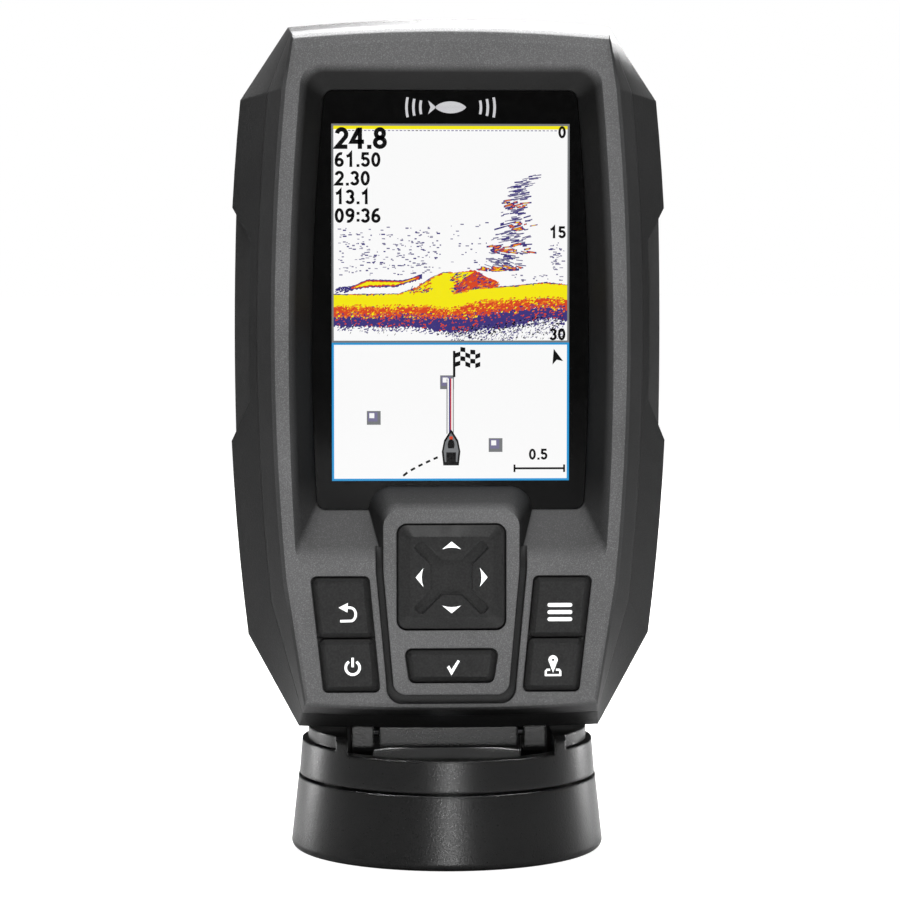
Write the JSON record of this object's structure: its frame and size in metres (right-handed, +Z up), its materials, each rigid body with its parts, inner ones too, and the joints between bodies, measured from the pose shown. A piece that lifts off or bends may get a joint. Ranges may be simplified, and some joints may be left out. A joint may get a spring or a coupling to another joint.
{
  "type": "fish finder",
  "caption": "Portrait sonar display head with keypad and direction pad, on a round swivel and tilt base.",
  "frame": {"origin": "centre of the base's bottom face", "axes": "+Z up, the screen faces -Y, +X to the right of someone facing the screen"},
  "size_m": [0.0914, 0.0666, 0.1754],
  "materials": {
    "base_plastic": "fine satin texture",
    "bezel_plastic": "fine spark-eroded texture",
    "case_plastic": "fine spark-eroded texture",
    "key_rubber": "satin silicone",
    "seal_rubber": "matte",
    "lens_glass": "polished, black printed border",
    "adhesive": "matte",
    "lcd_glass": "polished",
    "light_guide": "polished",
    "tray_metal": "stamped",
    "ribbon_film": "satin film",
    "steel": "satin",
    "spring_steel": "bright",
    "nylon": "natural",
    "board": "solder mask",
    "chip": "moulded epoxy",
    "ceramic": "fired ceramic",
    "capacitor_can": "drawn can",
    "connector_plastic": "moulded",
    "brass_pins": "plated",
    "membrane": "felt"
  },
  "bodies": {
    "base": {"swivel_base": "base_plastic", "friction_washer": "nylon"},
    "swivel": {"swivel_top": "base_plastic", "pivot_screw": "steel", "retaining_washer": "steel", "pivot_nut": "steel", "hinge_pins": "steel", "hinge_washers": "nylon"},
    "head": {"cradle": "base_plastic", "latch_pin": "steel", "latch_spring": "spring_steel", "front_bezel": "bezel_plastic", "rear_case": "case_plastic", "case_seal": "seal_rubber", "case_screws": "steel", "display_lens": "lens_glass", "lens_adhesive": "adhesive", "lcd_panel": "lcd_glass", "light_guide": "light_guide", "lcd_tray": "tray_metal", "lcd_ribbon": "ribbon_film", "keypad_mat": "key_rubber", "keypad_backing": "nylon", "main_board": "board", "board_screws": "steel", "dome_switches": "tray_metal", "shield_can": "tray_metal", "processor": "chip", "gps_antenna": "ceramic", "sonar_transformer": "chip", "capacitors": "capacitor_can", "piezo_buzzer": "chip", "power_connector": "connector_plastic", "connector_insert": "connector_plastic", "connector_pins": "brass_pins", "connector_seal": "seal_rubber", "connector_nut": "brass_pins", "vent_membrane": "membrane"},
    "latch": {"release_latch": "base_plastic"},
    "dpad_rocker": {"dpad_pivot": "nylon"},
    "dpad": {"dpad_cap": "key_rubber"},
    "back_button": {"back_key": "key_rubber"},
    "power_button": {"power_key": "key_rubber"},
    "menu_button": {"menu_key": "key_rubber"},
    "mark_button": {"mark_key": "key_rubber"},
    "enter_button": {"enter_key": "key_rubber"}
  },
  "joints": [
    {"name": "swivel_turn", "type": "hinge", "parent": "base", "child": "swivel", "pos_m": [0, 0, 0.016], "axis": [0, 0, 1], "range_deg": [-90, 90]},
    {"name": "head_tilt", "type": "hinge", "parent": "swivel", "child": "head", "pos_m": [0, 0.003, 0.0225], "axis": [-1, 0, 0], "range_deg": [-2, 40]},
    {"name": "latch_press", "type": "hinge", "parent": "head", "child": "latch", "pos_m": [0, -0.0046, 0.025], "axis": [1, 0, 0], "range_deg": [0, 8], "stiffness_Nm_per_rad": 0.002},
    {"name": "dpad_tilt_vertical", "type": "hinge", "parent": "head", "child": "dpad_rocker", "pos_m": [0, -0.0189, 0.05965], "axis": [1, 0, 0], "range_deg": [-3.5, 3.5], "stiffness_Nm_per_rad": 0.05},
    {"name": "dpad_tilt_sideways", "type": "hinge", "parent": "dpad_rocker", "child": "dpad", "pos_m": [0, -0.0189, 0.05965], "axis": [0, 0, 1], "range_deg": [-3.5, 3.5], "stiffness_Nm_per_rad": 0.05},
    {"name": "back_press", "type": "slide", "parent": "head", "child": "back_button", "axis": [0, 1, 0], "range_m": [0, 0.0006], "stiffness_N_per_m": 400},
    {"name": "power_press", "type": "slide", "parent": "head", "child": "power_button", "axis": [0, 1, 0], "range_m": [0, 0.0006], "stiffness_N_per_m": 400},
    {"name": "menu_press", "type": "slide", "parent": "head", "child": "menu_button", "axis": [0, 1, 0], "range_m": [0, 0.0006], "stiffness_N_per_m": 400},
    {"name": "mark_press", "type": "slide", "parent": "head", "child": "mark_button", "axis": [0, 1, 0], "range_m": [0, 0.0006], "stiffness_N_per_m": 400},
    {"name": "enter_press", "type": "slide", "parent": "head", "child": "enter_button", "axis": [0, 1, 0], "range_m": [0, 0.0006], "stiffness_N_per_m": 400}
  ]
}
